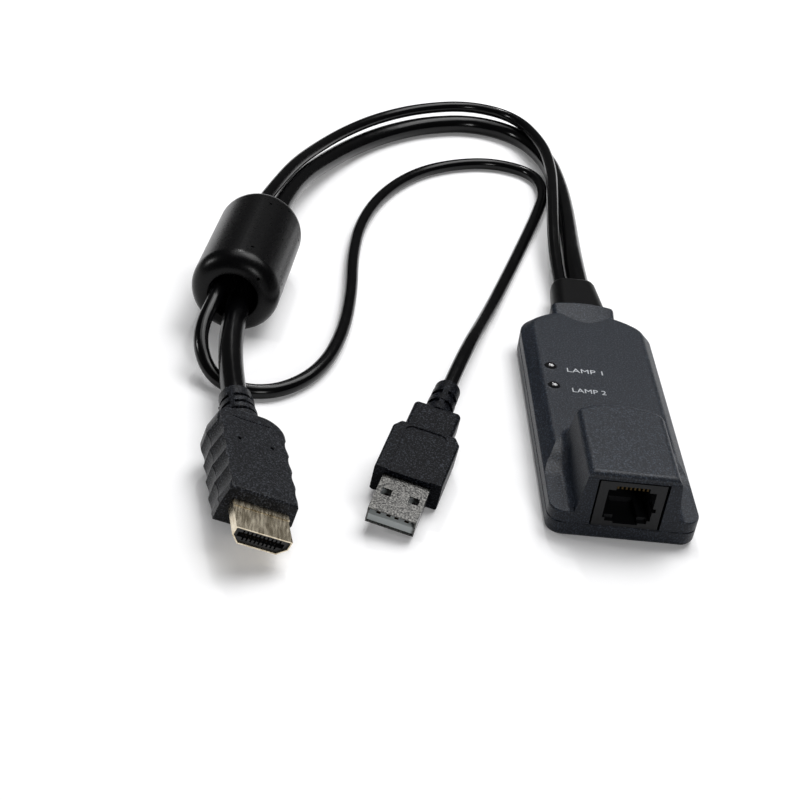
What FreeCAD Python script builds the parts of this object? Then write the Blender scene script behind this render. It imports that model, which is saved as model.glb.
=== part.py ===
import FreeCAD, Part
import Sketcher
import math
import os

V = FreeCAD.Vector
doc = FreeCAD.newDocument("kvm_dongle")
sheet = doc.addObject("Spreadsheet::Sheet", "Sizes")

# sizes in mm; x is the width, y runs from the jack to the cords, z is up,
# and the origin is the middle of the housing's footprint on the desk
sizes = [
    # housing
    ("bodyLong", 95.6), ("frontHalf", 18.5), ("rearHalf", 19.0), ("rearArc", 24.0),
    ("frontCorner", 4.0), ("rearCorner", 8.5), ("wall", 2.0), ("floorThick", 2.0),
    ("bottomRound", 1.6), ("partingHigh", 4.4), ("rimHigh", 7.4), ("topHigh", 10.5),
    ("seamDeep", 0.25), ("rimRound", 0.6), ("topRound", 2.4),
    # hood over the jack, and the low ramps beside it
    ("hoodHigh", 19.6), ("hoodHalf", 12.8), ("hoodSideLong", 28.5), ("hoodBack", 33.0),
    ("hoodDraft", 8.0), ("hoodRound", 1.9), ("hoodArc", 20.5),
    ("hoodCorner", 2.5), ("hoodFoot", 2.2), ("rampHigh", 7.6),
    ("rampFlat", 14.0), ("rampBack", 26.4), ("rampInner", 11.6),
    # jack
    ("jackWide", 16.2), ("jackHigh", 13.05), ("jackLong", 21.0), ("jackGap", 0.55),
    ("cavityWide", 11.7), ("cavityLow", 2.35), ("cavityHigh", 8.35), ("cavityDeep", 13.0),
    ("latchWide", 6.0), ("latchLow", 0.9), ("notchWide", 8.1), ("notchHigh", 1.2), ("contactPitch", 1.02),
    # board
    ("boardThick", 1.6), ("boardLow", 2.8), ("boardHalf", 15.6), ("boardLong", 78.0), ("postRadius", 2.4),
    ("screwRadius", 0.9), ("screwTop", 7.9),
    # light pipes
    ("lensRadius", 1.72), ("lensDome", 0.8), ("lensBall", 2.25), ("lensIn", 6.0), ("lensFrontY", 3.4), ("lensRearY", 13.1),
    ("lensFlange", 2.0),
    # grommet
    ("gripWide", 16.2), ("gripHigh", 10.0), ("gripEndWide", 13.6), ("gripEndHigh", 8.4),
    ("gripEndY", 68.2), ("gripEndRound", 2.6), ("gripRound", 4.0), ("gripGap", 0.35), ("gripZ", 5.5), ("gripIn", 40.0), ("gripFlange", 2.6),
    ("collarHalf", 9.4), ("collarHigh", 0.3), ("collarLong", 12.0),
    # cords
    ("videoCord", 6.6), ("dataCord", 4.0), ("videoCordX", 2.1), ("dataCordX", 3.6), ("cordIn", 4.0),
    # ferrite bead
    ("beadX", 101.4), ("beadY", 28.9), ("beadZ", 12.5), ("beadTurn", 6.6), ("beadLong", 45.0),
    ("beadRadius", 12.5), ("beadRound", 5.0), ("beadBore", 6.8), ("beadMouth", 0.4),
    ("coreRadius", 10.2), ("coreBore", 7.0), ("coreLong", 36.0),
    # video plug, in its own frame: mouth at the origin, cord towards +y
    ("videoX", 85.85), ("videoY", 69.7), ("videoTurn", 11.0), ("videoTip", 0.6), ("videoRoll", 22.5),
    ("videoWide", 13.9), ("videoHigh", 4.45), ("videoUpright", 2.4), ("videoNarrow", 9.74),
    ("videoSkin", 0.3), ("videoOut", 9.25), ("videoBodyLong", 34.2), ("videoBodyWide", 19.2),
    ("videoBodyHigh", 10.6), ("videoBodyRound", 0.9), ("videoCrown", 8.0), ("videoShoulder", 6.5),
    ("videoReliefEnd", 55.5), ("videoReliefWide", 5.1), ("videoReliefNarrow", 4.1),
    # data plug, in its own frame in the same way
    ("dataX", 56.4), ("dataY", 53.3), ("dataTurn", 15.4), ("dataTip", 2.6), ("dataRoll", 4.9),
    ("dataWide", 12.0), ("dataHigh", 4.5), ("dataSkin", 0.32), ("dataOut", 13.6), ("dataBodyLong", 20.2),
    ("dataBodyWide", 17.2), ("dataBodyHigh", 7.7), ("dataBodyRound", 0.7), ("dataShoulder", 2.6),
    ("dataNeckWide", 12.6), ("dataNeckHigh", 7.0), ("dataNeckEnd", 44.5), ("dataReliefEnd", 56.8),
    ("dataReliefWide", 3.85), ("dataReliefNarrow", 3.4),
]
derived = [
    ("frontY", "=-bodyLong / 2"), ("rearY", "=bodyLong / 2"), ("sideEndY", "=rearY - rearArc + "
     "sqrt(rearArc * rearArc - rearHalf * rearHalf)"),
    ("flank", "=topHigh - rimHigh"), ("hoodSideY", "=frontY + hoodSideLong"), ("hoodBackY", "=frontY + hoodBack"),
    ("insideArc", "=rearArc - wall"), ("insideHalf", "=rearHalf - wall"), ("insideFront", "=frontHalf - wall"),
    ("insideY", "=rearY - rearArc + sqrt(insideArc * insideArc - insideHalf * insideHalf)"),
    ("stepArc", "=insideArc - 1.4"), ("stepHalf", "=insideHalf - 1.4"), ("stepFront", "=insideFront - 1.4"),
    ("stepY", "=rearY - rearArc + sqrt(stepArc * stepArc - stepHalf * stepHalf)"),
    ("boardTop", "=boardLow + boardThick"), ("boardFront", "=frontY + wall + 0.4"),
    ("screwX", "=boardHalf - 3.4"), ("screwY", "=boardFront + boardLong - 12"), ("lensSeat", "=topHigh - wall - 0.8"),
    ("jackTop", "=boardTop + jackHigh"), ("jackHalf", "=jackWide / 2"), ("doorHalf", "=jackHalf + jackGap"),
    ("doorTop", "=jackTop + jackGap"), ("jackFace", "=frontY + 0.3"), ("coreY", "=(beadLong - coreLong) / 2"),
    ("lensX", "=rearHalf - lensIn"), ("rampMiddle", "=(rampFlat + rampBack) / 2"),
    ("rampMean", "=(rampHigh + topHigh) / 2"), ("rampRise", "=topHigh - rampHigh"),
    ("rampArc", "=((rampBack - rampFlat) * (rampBack - rampFlat) + rampRise * rampRise) / (4 * rampRise)"),
    ("videoBandY", "=videoOut - 1.7"), ("dataRear", "=dataOut + dataBodyLong"),
]


def fillSheet():
    row = 1
    for name, amount in sizes + derived:
        sheet.set("A%d" % row, name)
        sheet.set("B%d" % row, str(amount))
        sheet.setAlias("B%d" % row, name)
        row += 1
    doc.recompute()


fillSheet()


def spell(text):
    """Binding text for a sum of sheet names and numbers, with a space round every sign."""
    return " ".join(w if w in "+-/*()" or w[0] in "0123456789." else "Sizes." + w for w in text.split())


def value(text):
    """What such a sum comes to now."""
    total, term, sign, sharing = 0.0, 0.0, 1.0, ""
    for word in text.split():
        if word in ("+", "-"):
            total += sign * term
            term, sign = 0.0, 1.0 if word == "+" else -1.0
        elif word in ("*", "/"):
            sharing = word
        else:
            amount = float(word) if word[0] in "0123456789." else float(sheet.get(word))
            if sharing == "*":
                term *= amount
            elif sharing == "/":
                term /= amount
            else:
                term = amount
            sharing = ""
    return total + sign * term


def body(name):
    item = doc.addObject("PartDesign::Body", name)
    item.Label = name
    return item


def sketch(item, name, role="XY_Plane", offset=None):
    drawn = item.newObject("Sketcher::SketchObject", name)
    plane = [one for one in item.Origin.OriginFeatures if one.Role == role][0]
    drawn.AttachmentSupport = [(plane, "")]
    drawn.MapMode = "FlatFace"
    if offset:
        drawn.setExpression("AttachmentOffset.Base.z", spell(offset))
    return drawn


def pin(drawn, line, end, x, y):
    """Hold one end of a line at a place read from the sheet."""
    for kind, text, axis in (("DistanceX", x, -2), ("DistanceY", y, -1)):
        if abs(value(text)) < 1e-9:
            drawn.addConstraint(Sketcher.Constraint("PointOnObject", line, end, axis))
        else:
            where = drawn.addConstraint(Sketcher.Constraint(kind, -1, 1, line, end, value(text)))
            drawn.setExpression("Constraints[%d]" % where, spell(text))


def outline(drawn, points, arcs=None, dents=()):
    """A closed loop through the points, run anticlockwise; an entry in arcs makes that side an arc,
    which swells outward unless it is among the dents."""
    arcs = arcs or {}
    spots = [V(value(x), value(y), 0) for x, y in points]
    total, made = len(spots), []
    for i in range(total):
        a, b = spots[i], spots[(i + 1) % total]
        if i in arcs:
            radius = value(arcs[i])
            along = (b - a).normalize()
            out = V(along.y, -along.x, 0) * (-1 if i in dents else 1)
            rise = radius - math.sqrt(radius * radius - (b - a).Length ** 2 / 4)
            ends = (b, a) if i in dents else (a, b)
            line = drawn.addGeometry(Part.Arc(ends[0], (a + b) * 0.5 + out * rise, ends[1]), False)
            flipped = (drawn.Geometry[line].StartPoint - a).Length > (drawn.Geometry[line].StartPoint - b).Length
            made.append((line, 2, 1) if flipped else (line, 1, 2))
        else:
            made.append((drawn.addGeometry(Part.LineSegment(a, b), False), 1, 2))
    for i in range(total):
        one, other = made[i], made[(i + 1) % total]
        drawn.addConstraint(Sketcher.Constraint("Coincident", one[0], one[2], other[0], other[1]))
    for i in range(total):
        pin(drawn, made[i][0], made[i][1], *points[i])
    for i in arcs:
        where = drawn.addConstraint(Sketcher.Constraint("Radius", made[i][0], value(arcs[i])))
        drawn.setExpression("Constraints[%d]" % where, spell(arcs[i]))


def block(drawn, x0, y0, x1, y1):
    outline(drawn, [(x0, y0), (x1, y0), (x1, y1), (x0, y1)])


def ring(drawn, x, y, radius):
    line = drawn.addGeometry(Part.Circle(V(value(x), value(y), 0), V(0, 0, 1), value(radius)), False)
    pin(drawn, line, 3, x, y)
    where = drawn.addConstraint(Sketcher.Constraint("Radius", line, value(radius)))
    drawn.setExpression("Constraints[%d]" % where, spell(radius))


def pad(item, drawn, name, long, taper=None, back=False):
    made = item.newObject("PartDesign::Pad", name)
    made.Profile = drawn
    made.setExpression("Length", spell(long))
    if taper:
        made.setExpression("TaperAngle", spell(taper))
    made.Reversed = back
    drawn.Visibility = False
    doc.recompute()
    return made


def pocket(item, drawn, name, deep=None, back=False, middle=False):
    made = item.newObject("PartDesign::Pocket", name)
    made.Profile = drawn
    if deep:
        made.setExpression("Length", spell(deep))
    else:
        made.Type = "ThroughAll"
    made.Reversed = back
    made.Midplane = middle
    doc.recompute()
    return made


def pick(made, test):
    """Names of the edges whose ends and middle pass the test."""
    names = []
    for number, edge in enumerate(made.Shape.Edges, 1):
        middle = edge.valueAt((edge.FirstParameter + edge.LastParameter) / 2)
        if test(edge, middle):
            names.append("Edge%d" % number)
    return names


def soften(item, base, name, radius, test, kind="Fillet"):
    names = pick(base, test)
    if not names:
        raise ValueError("no edges for " + name)
    made = item.newObject("PartDesign::" + kind, name)
    made.Base = (base, names)
    made.setExpression("Radius" if kind == "Fillet" else "Size", spell(radius))
    doc.recompute()
    return made


def upright(edge, middle):
    box = edge.BoundBox
    return box.ZLength > 0.5 and box.XLength < 1e-6 and box.YLength < 1e-6


def level(edge, z):
    return abs(edge.BoundBox.ZMin - z) < 1e-5 and abs(edge.BoundBox.ZMax - z) < 1e-5


nodes = []


def keep(item, name, place=None):
    item.Label = name
    if place:
        item.Placement = place
    nodes.append((name, item))
    return item


def bind(item, **where):
    for key, text in where.items():
        item.setExpression(key.replace("_", "."), spell(text))
    return item


def brick(name, x, y, z, long, wide, high):
    """A box from its low corner; every number is a sum read from the sheet."""
    made = doc.addObject("Part::Box", name)
    return bind(made, Length=long, Width=wide, Height=high,
                Placement_Base_x=x, Placement_Base_y=y, Placement_Base_z=z)


def rod(name, x, y, z, radius, high, along="z"):
    made = doc.addObject("Part::Cylinder", name)
    turns = {"z": (V(0, 0, 1), 0), "y": (V(1, 0, 0), -90), "x": (V(0, 1, 0), 90)}
    made.Placement = FreeCAD.Placement(V(), FreeCAD.Rotation(*turns[along]))
    return bind(made, Radius=radius, Height=high, Placement_Base_x=x, Placement_Base_y=y, Placement_Base_z=z)


def cone(name, x, y, z, low, top, high, along="z"):
    made = doc.addObject("Part::Cone", name)
    turns = {"z": (V(0, 0, 1), 0), "y": (V(1, 0, 0), -90)}
    made.Placement = FreeCAD.Placement(V(), FreeCAD.Rotation(*turns[along]))
    return bind(made, Radius1=low, Radius2=top, Height=high,
                Placement_Base_x=x, Placement_Base_y=y, Placement_Base_z=z)


def join(name, pieces, kind="MultiFuse"):
    made = doc.addObject("Part::" + kind, name)
    if kind == "Compound":
        made.Links = pieces
    else:
        made.Shapes = pieces
    return made


def carve(name, base, tools):
    made = doc.addObject("Part::Cut", name)
    made.Base = base
    made.Tool = join(name + "Tools", tools) if len(tools) > 1 else tools[0]
    return made


def wallOutline(drawn, half, front, arc, sideY, endHalf):
    """The housing's plan: straight front, slightly opening sides, one wide arc at the back."""
    outline(drawn, [("- " + half, front), (half, front), (endHalf, sideY), ("- " + endHalf, sideY)], {2: arc})


# lower shell: a tray with a rounded bottom edge and posts for the board
lower = body("lower_shell")
plan = sketch(lower, "lowerPlan")
wallOutline(plan, "frontHalf", "frontY", "rearArc", "sideEndY", "rearHalf")
step = pad(lower, plan, "lowerPad", "partingHigh")
frontY, rearY, sideY = value("frontY"), value("rearY"), value("sideEndY")
step = soften(lower, step, "lowerFront", "frontCorner", lambda e, m: upright(e, m) and m.y < frontY + 1)
step = soften(lower, step, "lowerRear", "rearCorner", lambda e, m: upright(e, m) and m.y > 1)
step = soften(lower, step, "lowerRound", "bottomRound", lambda e, m: level(e, 0))
step = soften(lower, step, "lowerSeam", "seamDeep", lambda e, m: level(e, value("partingHigh")), kind="Chamfer")
drawn = sketch(lower, "lowerHollow", offset="floorThick")
wallOutline(drawn, "insideFront", "frontY + wall", "insideArc", "insideY", "insideHalf")
step = pocket(lower, drawn, "lowerPocket", back=True)
floor = value("floorThick")
step = soften(lower, step, "hollowCorners", "frontCorner - wall",
              lambda e, m: upright(e, m) and abs(e.BoundBox.ZMin - floor) < 1e-5 and m.y < 0)
step = soften(lower, step, "hollowRear", "rearCorner - wall",
              lambda e, m: upright(e, m) and abs(e.BoundBox.ZMin - floor) < 1e-5 and m.y > 0)
drawn = sketch(lower, "posts", offset="floorThick - 0.2")
for x in ("screwX", "- screwX"):
    for y in ("boardFront + 6", "screwY"):
        ring(drawn, x, y, "postRadius")
step = pad(lower, drawn, "postPad", "boardLow - floorThick + 0.2")
drawn = sketch(lower, "screwBores")
for x in ("screwX", "- screwX"):
    ring(drawn, x, "screwY", "screwRadius")
step = pocket(lower, drawn, "screwBore", back=True)
drawn = sketch(lower, "screwSeats")
for x in ("screwX", "- screwX"):
    ring(drawn, x, "screwY", "2.3")
step = pocket(lower, drawn, "screwSeat", "1.3", back=True)

# upper shell: rim, sloped flanks, hood, ramps, all hollow underneath
upper = body("upper_shell")
plan = sketch(upper, "upperPlan", offset="partingHigh")
wallOutline(plan, "frontHalf", "frontY", "rearArc", "sideEndY", "rearHalf")
step = pad(upper, plan, "upperPad", "topHigh - partingHigh")
step = soften(upper, step, "upperFront", "frontCorner", lambda e, m: upright(e, m) and m.y < frontY + 1)
step = soften(upper, step, "upperRear", "rearCorner", lambda e, m: upright(e, m) and m.y > 1)
step = soften(upper, step, "upperSeam", "seamDeep", lambda e, m: level(e, value("partingHigh")), kind="Chamfer")
top, rim = value("topHigh"), value("rimHigh")
step = soften(upper, step, "flankSlope", "flank",
              lambda e, m: level(e, top) and m.y > frontY + 0.5, kind="Chamfer")
step = soften(upper, step, "rimEdge", "rimRound", lambda e, m: level(e, rim))
step = soften(upper, step, "flankTop", "topRound", lambda e, m: level(e, top))
for side, mark in (("", "Right"), ("- ", "Left")):
    drawn = sketch(upper, "ramp" + mark, "YZ_Plane", offset=side + "rampInner")
    outline(drawn, [("frontY - 1", "rampHigh"), ("frontY + rampFlat", "rampHigh"), ("frontY + rampMiddle", "rampMean"),
                    ("frontY + rampBack", "topHigh"), ("frontY + rampBack", "topHigh + 2"),
                    ("frontY - 1", "topHigh + 2")], {1: "rampArc", 2: "rampArc"}, dents=(2,))
    step = pocket(upper, drawn, "rampCut" + mark, "10", back=not side)
drawn = sketch(upper, "hoodPlan", offset="topHigh - 3")
outline(drawn, [("- hoodHalf", "frontY - 6"), ("hoodHalf", "frontY - 6"), ("hoodHalf", "hoodSideY"),
                ("- hoodHalf", "hoodSideY")], {2: "hoodArc"})
step = pad(upper, drawn, "hoodPad", "hoodHigh - topHigh + 3", taper="- hoodDraft")
drawn = sketch(upper, "faceTrim")
block(drawn, "- rearHalf - 5", "frontY - 12", "rearHalf + 5", "frontY")
step = pocket(upper, drawn, "faceCut", back=True)
high = value("hoodHigh")
step = soften(upper, step, "hoodCorners", "hoodCorner",
              lambda e, m: e.BoundBox.ZLength > 7 and m.y > frontY + 15 and abs(m.x) > 9)
step = soften(upper, step, "hoodTop", "hoodRound", lambda e, m: level(e, high))
low, half = value("rampHigh"), value("hoodHalf")
step = soften(upper, step, "hoodFeet", "hoodFoot",
              lambda e, m: (level(e, low) or level(e, top) or (e.BoundBox.ZMin > low - 0.01 and e.BoundBox.ZLength > 1
                                                               and e.BoundBox.ZMax < top + 0.01))
              and half - 1.8 < abs(m.x) < half + 0.8 and e.BoundBox.YLength > 0.02)

# a low raised collar on the roof where the cords' grommet comes out
collar = body("collarBody")
drawn = sketch(collar, "collarRear", "XZ_Plane", offset="- rearY - 0.3")
outline(drawn, [("- collarHalf", "5"), ("collarHalf", "5"), ("collarHalf", "topHigh + collarHigh"),
                ("- collarHalf", "topHigh + collarHigh")], {2: "collarHalf * 4.75"})
near = sketch(collar, "collarFront", "XZ_Plane", offset="- rearY + collarLong")
outline(near, [("- collarHalf + 0.5", "5"), ("collarHalf - 0.5", "5"), ("collarHalf - 0.5", "topHigh - 1.4"),
               ("- collarHalf + 0.5", "topHigh - 1.4")], {2: "collarHalf * 4.4"})
step = collar.newObject("PartDesign::AdditiveLoft", "collarLoft")
step.Profile = drawn
step.Sections = [near]
doc.recompute()
step = soften(collar, step, "collarSides", "1.7", lambda e, m: e.BoundBox.YLength > 3 and m.z > 6)
step = soften(collar, step, "collarEdge", "0.5",
              lambda e, m: e.BoundBox.YLength < 1e-5 and m.y > value("rearY") and m.z > 9)
under = brick("collarUnder", "- collarHalf - 2", "rearY - collarLong - 2", "4", "collarHalf * 2 + 4",
              "collarLong + 2 - wall + 0.1", "topHigh - wall + 0.05 - 4")
collar = carve("collarCut", collar, [under])

# the hollow: a low rim, a stepped roof behind the ramps, and the room inside the hood
drawn = sketch(upper, "rimHollow", offset="partingHigh")
wallOutline(drawn, "insideFront", "frontY + wall", "insideArc", "insideY", "insideHalf")
step = pocket(upper, drawn, "rimPocket", "rampHigh - 2.1 - partingHigh", back=True)
drawn = sketch(upper, "midHollow", offset="partingHigh")
wallOutline(drawn, "insideFront", "frontY + rampBack + 2", "insideArc", "insideY", "insideHalf")
step = pocket(upper, drawn, "midPocket", "rimHigh - 0.5 - partingHigh", back=True)
drawn = sketch(upper, "roofHollow", offset="partingHigh")
wallOutline(drawn, "stepFront", "frontY + rampBack + 3", "stepArc", "stepY", "stepHalf")
step = pocket(upper, drawn, "roofPocket", "topHigh - wall - partingHigh", back=True)
drawn = sketch(upper, "hoodHollow", offset="partingHigh")
block(drawn, "- doorHalf - 0.8", "frontY + wall", "doorHalf + 0.8", "hoodSideY + 1")
step = pocket(upper, drawn, "hoodPocket", "doorTop - partingHigh", back=True)
drawn = sketch(upper, "door", offset="partingHigh")
block(drawn, "- doorHalf", "frontY - 1", "doorHalf", "frontY + wall + 1")
step = pocket(upper, drawn, "doorPocket", "doorTop - partingHigh", back=True)
drawn = sketch(upper, "lensHoles", offset="partingHigh")
ring(drawn, "- lensX", "lensFrontY", "lensRadius")
ring(drawn, "- lensX", "lensRearY", "lensRadius")
step = pocket(upper, drawn, "lensHole", back=True)
drawn = sketch(upper, "bosses", offset="topHigh - wall + 0.3")
for x in ("screwX", "- screwX"):
    ring(drawn, x, "screwY", "postRadius")
step = pad(upper, drawn, "bossPad", "topHigh - wall + 0.3 - boardTop", back=True)
drawn = sketch(upper, "bossBores", offset="boardTop")
for x in ("screwX", "- screwX"):
    ring(drawn, x, "screwY", "screwRadius")
step = pocket(upper, drawn, "bossBore", "screwTop - boardTop", back=True)

# grommet: a flange held in a groove of both shells, a block through the wall, a tapering rounded tail
grip = body("gripBody")
first = sketch(grip, "gripStart", "XZ_Plane", offset="- gripIn")
block(first, "- gripWide / 2", "gripZ - gripHigh / 2", "gripWide / 2", "gripZ + gripHigh / 2")
step = pad(grip, first, "gripBlock", "rearY + 1 - gripIn", back=True)
second = sketch(grip, "tailStart", "XZ_Plane", offset="- rearY - 1")
block(second, "- gripWide / 2", "gripZ - gripHigh / 2", "gripWide / 2", "gripZ + gripHigh / 2")
third = sketch(grip, "tailEnd", "XZ_Plane", offset="- gripEndY")
block(third, "- gripEndWide / 2", "gripZ - gripEndHigh / 2", "gripEndWide / 2", "gripZ + gripEndHigh / 2")
step = grip.newObject("PartDesign::AdditiveLoft", "gripTail")
step.Profile = second
step.Sections = [third]
doc.recompute()
step = soften(grip, step, "gripSides", "gripRound",
              lambda e, m: e.BoundBox.YLength > 3 and abs(m.x) > 5)
step = soften(grip, step, "gripEndEdge", "gripEndRound", lambda e, m: abs(m.y - value("gripEndY")) < 1e-4)
drawn = sketch(grip, "gripFlangePlan", "XZ_Plane", offset="- gripIn")
block(drawn, "- gripWide / 2 - 2", "1.2", "gripWide / 2 + 2", "topHigh - 1.1")
step = pad(grip, drawn, "gripFlangePad", "gripFlange", back=True)
seats = [rod("videoSeat", "videoCordX", "gripEndY - cordIn", "gripZ", "videoCord / 2 + 0.04", "cordIn + 1", "y"),
         rod("dataSeat", "- dataCordX", "gripEndY - cordIn", "gripZ", "dataCord / 2 + 0.04", "cordIn + 1", "y")]
keep(carve("gripBored", grip, seats), "cord_grommet")

gap = body("gapBody")
drawn = sketch(gap, "gapPlan", "XZ_Plane", offset="- rearY + 0.9")
block(drawn, "- gripWide / 2 - gripGap", "gripZ", "gripWide / 2 + gripGap", "gripZ + gripHigh / 2 + gripGap")
step = pad(gap, drawn, "gapPad", "4", back=True)
step = soften(gap, step, "gapRound", "gripRound + gripGap", lambda e, m: e.BoundBox.YLength > 3 and m.z > 9)
keep(carve("lowerFit", lower, [grip]), "lower_shell")
keep(carve("upperFit", join("upperWhole", [upper, collar]), [grip, gap]), "upper_shell")

# light pipes, each a domed barrel with a flange under the roof and a thinner stem over its diode
for name, y in (("power_lens", "lensFrontY"), ("active_lens", "lensRearY")):
    barrel = rod(name + "Barrel", "- lensX", y, "topHigh - wall", "lensRadius", "wall + lensDome")
    ball = doc.addObject("Part::Sphere", name + "Ball")
    bind(ball, Radius="lensBall", Placement_Base_x="- lensX", Placement_Base_y=y,
         Placement_Base_z="topHigh + lensDome - lensBall")
    dome = doc.addObject("Part::MultiCommon", name + "Dome")
    dome.Shapes = [barrel, ball]
    flange = rod(name + "Flange", "- lensX", y, "lensSeat", "lensFlange", "0.8")
    stem = rod(name + "Stem", "- lensX", y, "boardTop + 1", "1.3", "lensSeat - boardTop - 1")
    keep(join(name, [dome, flange, stem]), name)

# board and what stands on it
plate = brick("plate", "- boardHalf", "boardFront", "boardLow", "boardHalf * 2", "boardLong", "boardThick")
holes = [rod("boardHole" + mark, x, "screwY", "boardLow - 1", "1.15", "boardThick + 2")
         for mark, x in (("Right", "screwX"), ("Left", "- screwX"))]
keep(carve("boardCut", plate, holes), "circuit_board")
chips = [("power_led", "- lensX - 0.8", "lensFrontY - 0.4", "1.6", "0.8", "0.7"),
         ("active_led", "- lensX - 0.8", "lensRearY - 0.4", "1.6", "0.8", "0.7"),
         ("main_processor", "- 5", "2", "12", "12", "1.2"),
         ("memory_chip", "- 4", "- 10", "8", "7", "1"),
         ("network_transformer", "- 6.3", "- 25.6", "12.6", "4.6", "5.6"),
         ("video_wire_header", "- 1", "26", "10", "4", "3"),
         ("data_wire_header", "- 8", "26", "6", "4", "3")]
for name, x, y, long, wide, tall in chips:
    keep(brick(name, x, y, "boardTop", long, wide, tall), name)
keep(rod("videoLead", "4", "30", "boardTop + 1.5", "1.4", "gripIn - 30", "y"), "video_wire_lead")
keep(rod("dataLead", "- 5", "30", "boardTop + 1.5", "1.1", "gripIn - 30", "y"), "data_wire_lead")
screws = []
for mark, x in (("Right", "screwX"), ("Left", "- screwX")):
    head = rod("screwHead" + mark, x, "screwY", "0.15", "2.1", "1.15")
    stem = rod("screwStem" + mark, x, "screwY", "1.2", "screwRadius", "screwTop - 1.2")
    drive = brick("screwDrive" + mark, x + " - 0.35", "screwY - 1.3", "0", "0.7", "2.6", "0.7")
    cross = brick("screwCross" + mark, x + " - 1.3", "screwY - 0.35", "0", "2.6", "0.7", "0.7")
    screws.append(carve("screw" + mark, join("screwBody" + mark, [head, stem]), [drive, cross]))
keep(join("screws", screws, "Compound"), "case_screws")

# jack: a block with a stepped mouth, and eight sprung wires hanging from its roof
jack = body("network_jack_body")
drawn = sketch(jack, "jackPlan", offset="boardTop")
block(drawn, "- jackHalf", "jackFace", "jackHalf", "jackFace + jackLong")
step = pad(jack, drawn, "jackPad", "jackHigh")
openings = [("mouth", "cavityWide / 2", "cavityLow", "cavityLow + cavityHigh", "cavityDeep"),
            ("notch", "notchWide / 2", "cavityLow + cavityHigh - 1", "cavityLow + cavityHigh + notchHigh",
             "cavityDeep - 1"),
            ("latch", "latchWide / 2", "latchLow", "cavityLow + 1", "9"),
            ("ledge", "cavityWide / 2 - 0.7", "cavityLow - 0.9", "cavityLow + 1", "1.4"),
            ("sideSlot", "cavityWide / 2 + 0.8", "5.0", "6.1", "4")]
for name, half, low, high, deep in openings:
    drawn = sketch(jack, name + "Face", "XZ_Plane", offset="- jackFace")
    block(drawn, "- " + half.replace(" / 2 - ", " / 2 + "), "boardTop + " + low, half, "boardTop + " + high)
    step = pocket(jack, drawn, name + "Pocket", deep, back=False)
keep(jack, "network_jack_body")
wires = []
for number in range(8):
    x = (number - 3.5) * value("contactPitch")
    y, roof = value("jackFace"), value("boardTop + cavityLow + cavityHigh + notchHigh")
    side = [(y + 0.5, roof), (y + 0.5, roof - 1.1), (y + 0.9, roof - 1.1), (y + 1.4, roof - 0.3),
            (y + 2.4, roof - 0.3), (y + 10.6, roof - 3.9), (y + 12.0, roof - 3.9),
            (y + 12.0, roof - 3.6), (y + 10.7, roof - 3.6), (y + 2.5, roof)]
    loop = [V(x - 0.22, a, b) for a, b in side]
    face = Part.Face(Part.makePolygon(loop + loop[:1]))
    wires.append(face.extrude(V(0.44, 0, 0)))
made = doc.addObject("Part::Feature", "network_jack_contacts")
made.Shape = Part.makeCompound(wires)
keep(made, "network_jack_contacts")


# ferrite bead: a rounded jacket whose ends hold the core that lines its bore
def turned(name, points, arcs=None):
    """A body turned about its own y axis from a half section given as (along, radius)."""
    item = body(name)
    drawn = sketch(item, name + "Half", "YZ_Plane")
    outline(drawn, points, arcs)
    step = item.newObject("PartDesign::Revolution", name + "Turn")
    step.Profile = drawn
    step.ReferenceAxis = (drawn, ["H_Axis"])
    step.Angle = 360
    doc.recompute()
    return item, step


beadPlace = FreeCAD.Placement(V(-value("beadX"), value("beadY"), value("beadZ")),
                              FreeCAD.Rotation(V(0, 0, 1), -value("beadTurn")))
jacket, step = turned("jacketBody", [
    ("0", "beadBore + beadMouth"), ("beadMouth", "beadBore"), ("coreY", "beadBore"), ("coreY", "coreRadius"),
    ("coreY + coreLong", "coreRadius"), ("coreY + coreLong", "beadBore"), ("beadLong - beadMouth", "beadBore"),
    ("beadLong", "beadBore + beadMouth"), ("beadLong", "beadRadius"), ("0", "beadRadius")])
step = soften(jacket, step, "jacketRound", "beadRound",
              lambda e, m: e.BoundBox.YLength < 1e-6 and e.BoundBox.ZLength > value("beadRadius * 1.9"))
core, step = turned("coreBody", [("coreY", "coreBore"), ("coreY + coreLong", "coreBore"),
                                 ("coreY + coreLong", "coreRadius"), ("coreY", "coreRadius")])


def sunk(name, y, lean):
    """A small blind hole into the round side, leaning from the top by so many degrees."""
    across, up = math.sin(math.radians(lean)), math.cos(math.radians(lean))
    made = doc.addObject("Part::Cylinder", name)
    made.Placement = FreeCAD.Placement(V(), FreeCAD.Rotation(V(0, 1, 0), lean))
    return bind(made, Radius="0.45", Height="3", Placement_Base_y=y,
                Placement_Base_x="beadRadius * %.4f - 1.2 * %.4f" % (across, across),
                Placement_Base_z="beadRadius * %.4f - 1.2 * %.4f" % (up, up))


pins = [sunk("pin%s%d" % (mark, lean), y, lean) for lean in (15, 82)
        for mark, y in (("Near", "coreY + 3.7"), ("Far", "coreY + coreLong - 4.3"))]
pins.append(rod("pinEnd", "beadBore - 0.1", "- 1", "beadBore - 0.2", "0.45", "3.4", "y"))
keep(carve("jacketCut", jacket, pins), "ferrite_jacket", beadPlace)
keep(join("coreAlone", [core], "Compound"), "ferrite_core", beadPlace)


def plugPlace(x, y, turn, tip, roll, low):
    spin = (FreeCAD.Rotation(V(0, 0, 1), turn) * FreeCAD.Rotation(V(1, 0, 0), tip)
            * FreeCAD.Rotation(V(0, 1, 0), roll))
    return FreeCAD.Placement(V(x, y, -low), spin)


def lowest(shape, place):
    moved = shape.copy()
    moved.Placement = place.multiply(moved.Placement)
    return moved.optimalBoundingBox().ZMin


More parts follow.
